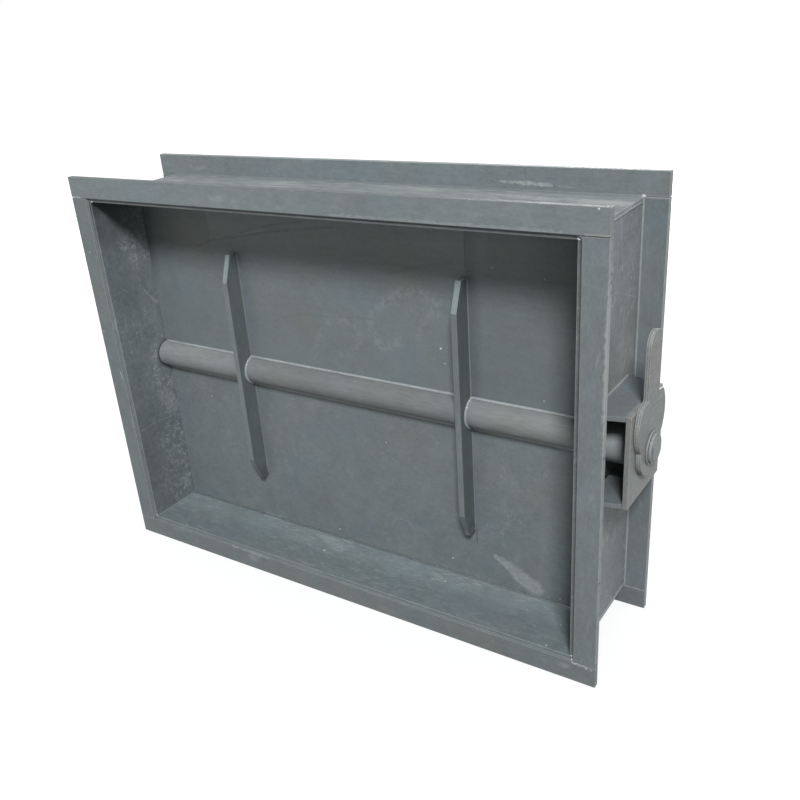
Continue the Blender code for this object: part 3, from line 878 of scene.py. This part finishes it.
dress("blade_lower", BLADE, 32.0, marks=[
    worms(60.0, 0.030, 0.12),
    scuffs(60.0, 0.55, 0.75, 0.14, (1, 1, 1), 14.0),
    smear(skin((197, 80), (214, 70), (232, 58), (252, 48)), 0, 0.192, 0.240, 0.0045, 0.0150, 0.42,
          bare=0.6, only=FRONT_SIDE),
    line(skin((35, 82), (38, 92), (50, 98), (62, 95), (70, 86), (74, 74), (68, 60), (56, 49), (44, 47)),
         0.0034, 0.10, broken=0.8, soft=0.9, grain=130.0),
    line(skin((-208, 37.5), (-176, 37.8)), 0.0014, 0.35, broken=0.5),
    line(skin((-189.7, 97), (-191, 81)), 0.0009, 0.60, (0.115, 0.080, 0.078, 1.0), broken=0.5, grain=90.0),
    dark_line(skin((169.6, 113), (169.3, 93)), 0.0010, 0.50),
    spots(skin((131, 57), (-61, 48)), 0.0018, 0.60),
    spots(skin((35, 213), (-283, 224), (287, 43)), 0.0015, 0.40),
    worn_and_highlit_edges("blade_lower", 0.22),
    shade(0.25, (2, span("blade_lower")[0].z + 0.0014, span("blade_lower")[0].z + 0.0006)),
], cloud=0.022, mottle=0.036, speckle=0.030, grain=0.032, hue=0.024, way=(0.7, 1, 1))

# The ribs: their sawn front and chamfers are lighter than their flanks, partly their own tone and partly
# painted light. The right rib is a darker copy, as painted shade, with more painted light on its front.
for i, node in enumerate(("rib_left", "rib_right")):
    rib_low = span(node)[0]
    dress(node, (0.128 - 0.016 * i, 0.149 - 0.017 * i, 0.154 - 0.017 * i, 1.0), 41.0 + i, marks=[
        painted_light_by_facing(1, -0.70, -0.90, 0.30 + 0.08 * i),
        painted_light_by_facing(2, 0.20, 0.32, 0.42 + 0.10 * i),
        worn_and_highlit_edges(node, 0.16, least=0.0006),
        shade(0.25, (2, rib_low.z + 0.030, rib_low.z + 0.004)),
        patch((rib_low.x, -0.012, rib_low.z + 0.006), (0.012, 0.012, 0.010), 0.30 * i, rough_scale=150.0),
    ], mottle=0.026, speckle=0.026, grain=0.036, hue=0.025, way=(1, 1, 0.2))

dress("shaft", (0.208, 0.222, 0.223, 1.0), 51.0, "rod", marks=[
    scuffs(110.0, 0.56, 0.74, 0.18, (0.2, 1, 1), 16.0),
    shade(0.16, (0, -0.190, -0.170), (0, 0.160, 0.140)),
    shade(-0.07, (0, -0.215, -0.230)),
], cloud=0.016, mottle=0.028, speckle=0.028, grain=0.040, way=(0.15, 1, 1), roughness=0.48, specks=0.3)
for i, node in enumerate(("right_bush", "bracket_bush", "left_bush")):
    # The right bush, the sleeve through the bracket, is the shaft's grey made 1.3 times lighter, as painted
    # light
    tone = (0.270, 0.288, 0.292, 1.0) if i == 0 else (0.150, 0.172, 0.178, 1.0)
    dress(node, tone, 81.0 + i, "turned", specks=0.0, marks=[shaft_gap_shade(shaft_radius + 0.0016, 0.88)])

# The bracket's plates are cut from the casing's sheet, and the rest is a paler, warmer grey
for i, node in enumerate(("bracket_top_plate", "bracket_bottom_plate")):
    upper = (2, low_hi.z - 0.0010, low_hi.z - 0.0005)
    inside = [shade(0.85, (1, 0.004, 0.009), upper), shade(0.28, (1, -0.050, -0.010), upper)] if i else []
    dress(node, (0.146, 0.166, 0.175, 1.0), 61.0 + i, mottle=0.035, speckle=0.035,
          marks=[cut_edges((1,), 0.16), worn_and_highlit_edges(node, 0.35 - 0.23 * i)] + inside)
for i, node in enumerate(("bracket_outer_plate", "left_boss", "left_cap")):
    dress(node, (0.220, 0.230, 0.225, 1.0), 63.0 + i, mottle=0.036, speckle=0.036, grain=0.045, hue=0.025,
          marks=[scuffs(90.0, 0.54, 0.72, 0.20), worn_and_highlit_edges(node, 0.30)])

lever_face = span("lever")[1].x
dress("lever", (0.211, 0.218, 0.211, 1.0), 71.0, marks=[
    scuffs(100.0, 0.54, 0.72, 0.25, (1, 0.5, 1), 18.0),
    streaks(300.0, (1, 0.08, 1), 0.09),
    # Painted shade on the faces that look down, and painted highlights along the rim
    painted_light_by_facing(2, -0.35, -0.75, -0.45),
    rim_highlights_and_saw_line("lever", 0.75),
    line(beside(lever_face, (-3, 334), (-3, 326)), 0.0012, 0.20),
    spots(beside(lever_face, (-2.6, 319)), 0.0012, 0.60),
], cloud=0.025, mottle=0.045, speckle=0.045, grain=0.05, hue=0.025, way=(1, 0.6, 1))
for i, node in enumerate(("lever_washer", "lever_nut")):
    dress(node, (0.226, 0.234, 0.234, 1.0), 75.0 + i, "turned", mottle=0.03, speckle=0.03, grain=0.04,
          specks=0.2, marks=[rim_highlights_and_saw_line(node, 0.40)])


# Floor, light and camera


def white_rays(tree):
    """1 for the rays that show the pale background: the camera's, and reflected and refracted ones."""
    rays = tree.nodes.new("ShaderNodeLightPath").outputs
    inputs = {0: rays["Is Camera Ray"], 1: rays["Is Glossy Ray"]}
    first = add_node(tree, "ShaderNodeMath", inputs, operation="MAXIMUM").outputs[0]
    inputs = {0: first, 1: rays["Is Transmission Ray"]}
    return add_node(tree, "ShaderNodeMath", inputs, operation="MAXIMUM").outputs[0]


def floor_material():
    """Pale to the camera and in reflections, with the object's shadow, and mid-grey to other light."""
    material = bpy.data.materials.new("studio_floor")
    material.use_nodes = True
    tree = material.node_tree
    tree.nodes.clear()
    seen = white_rays(tree)
    greys = {"Factor": seen, "A": (0.24, 0.24, 0.24, 1.0), "B": (0.42, 0.42, 0.42, 1.0)}
    tone = add_node(tree, "ShaderNodeMix", greys, data_type="RGBA").outputs["Result"]
    surface = add_node(tree, "ShaderNodeBsdfDiffuse", {"Color": tone}).outputs[0]
    place = tree.nodes.new("ShaderNodeTexCoord").outputs["Object"]
    away = add_node(tree, "ShaderNodeVectorMath", {0: place}, operation="LENGTH").outputs["Value"]
    near_to_far = {0: away, "From Min": 0.5, "From Max": 4.0, "To Min": 0.61, "To Max": 1.0}
    lift = add_node(tree, "ShaderNodeMapRange", near_to_far, interpolation_type="SMOOTHSTEP").outputs[0]
    strength = add_node(tree, "ShaderNodeMath", {0: seen, 1: lift}, operation="MULTIPLY").outputs[0]
    glow = add_node(tree, "ShaderNodeEmission", {"Strength": strength}).outputs[0]
    both = add_node(tree, "ShaderNodeAddShader", {0: surface, 1: glow}).outputs[0]
    add_node(tree, "ShaderNodeOutputMaterial", {"Surface": both})
    return material


def make_floor():
    half = 30.0
    mesh = bpy.data.meshes.new("studio_floor")
    corners = [(-half, -half, 0), (half, -half, 0), (half, half, 0), (-half, half, 0)]
    mesh.from_pydata(corners, [], [(0, 1, 2, 3)])
    floor = add_piece("studio_floor", mesh, floor_material())
    floor.location.z = -0.0005


def make_world():
    world = bpy.data.worlds.new("studio")
    world.use_nodes = True
    tree = world.node_tree
    tree.nodes.clear()
    seen = white_rays(tree)
    lit = {"Color": (1.0, 0.970, 0.890, 1.0), "Strength": 0.15}
    fill = add_node(tree, "ShaderNodeBackground", lit).outputs[0]
    shown = {"Color": (1.0, 1.0, 1.0, 1.0), "Strength": 1.0}
    white = add_node(tree, "ShaderNodeBackground", shown).outputs[0]
    mix = add_node(tree, "ShaderNodeMixShader", {"Fac": seen, 1: fill, 2: white}).outputs[0]
    add_node(tree, "ShaderNodeOutputWorld", {"Surface": mix})
    bpy.context.scene.world = world


CENTRE = Vector((0.0, 0.0, 0.283))


def area_light(name, distance, way, size, power, colour=(1.0, 1.0, 1.0)):
    """A square lamp at a distance from the object's middle, in a direction, turned to the middle."""
    lamp = bpy.data.lights.new(name, "AREA")
    lamp.shape = "SQUARE"
    lamp.size = size
    lamp.energy = power
    lamp.color = colour
    light = bpy.data.objects.new(name, lamp)
    bpy.context.scene.collection.objects.link(light)
    place = CENTRE + distance * Vector(way)
    light.location = place
    light.rotation_euler = (CENTRE - place).to_track_quat("-Z", "Y").to_euler()


def make_camera():
    camera = bpy.data.cameras.new("camera")
    camera.sensor_width = 36
    camera.lens = 40.5014
    camera.shift_x = 0.034769
    camera.shift_y = 0.031887
    camera.clip_start = 0.05
    camera.clip_end = 100
    holder = bpy.data.objects.new("camera", camera)
    bpy.context.scene.collection.objects.link(holder)
    holder.location = (0.66076, -0.88576, 0.75950)
    holder.rotation_euler = Euler([math.radians(a) for a in (64.27113, 4.55780, 34.01078)], "XYZ")
    bpy.context.scene.camera = holder


make_floor()
make_world()
area_light("key", 8.0, (0.399, -0.596, 0.697), 1.6, 655.0, (0.98, 1.0, 1.02))
area_light("front_fill", 3.0, (-0.54, -0.81, 0.20), 1.5, 7.0, (1.0, 0.98, 0.88))
area_light("top_fill", 3.0, (0.0, 0.2, 0.98), 1.5, 6.0, (1.0, 0.99, 0.95))
area_light("side_fill", 3.0, (0.92, 0.25, 0.30), 1.5, 11.0)
area_light("rear_fill", 3.0, (-0.15, 0.97, 0.16), 1.5, 60.0)
area_light("left_fill", 3.0, (-0.97, 0.12, 0.20), 1.5, 30.0)
make_camera()
bpy.context.scene.view_settings.view_transform = "Standard"
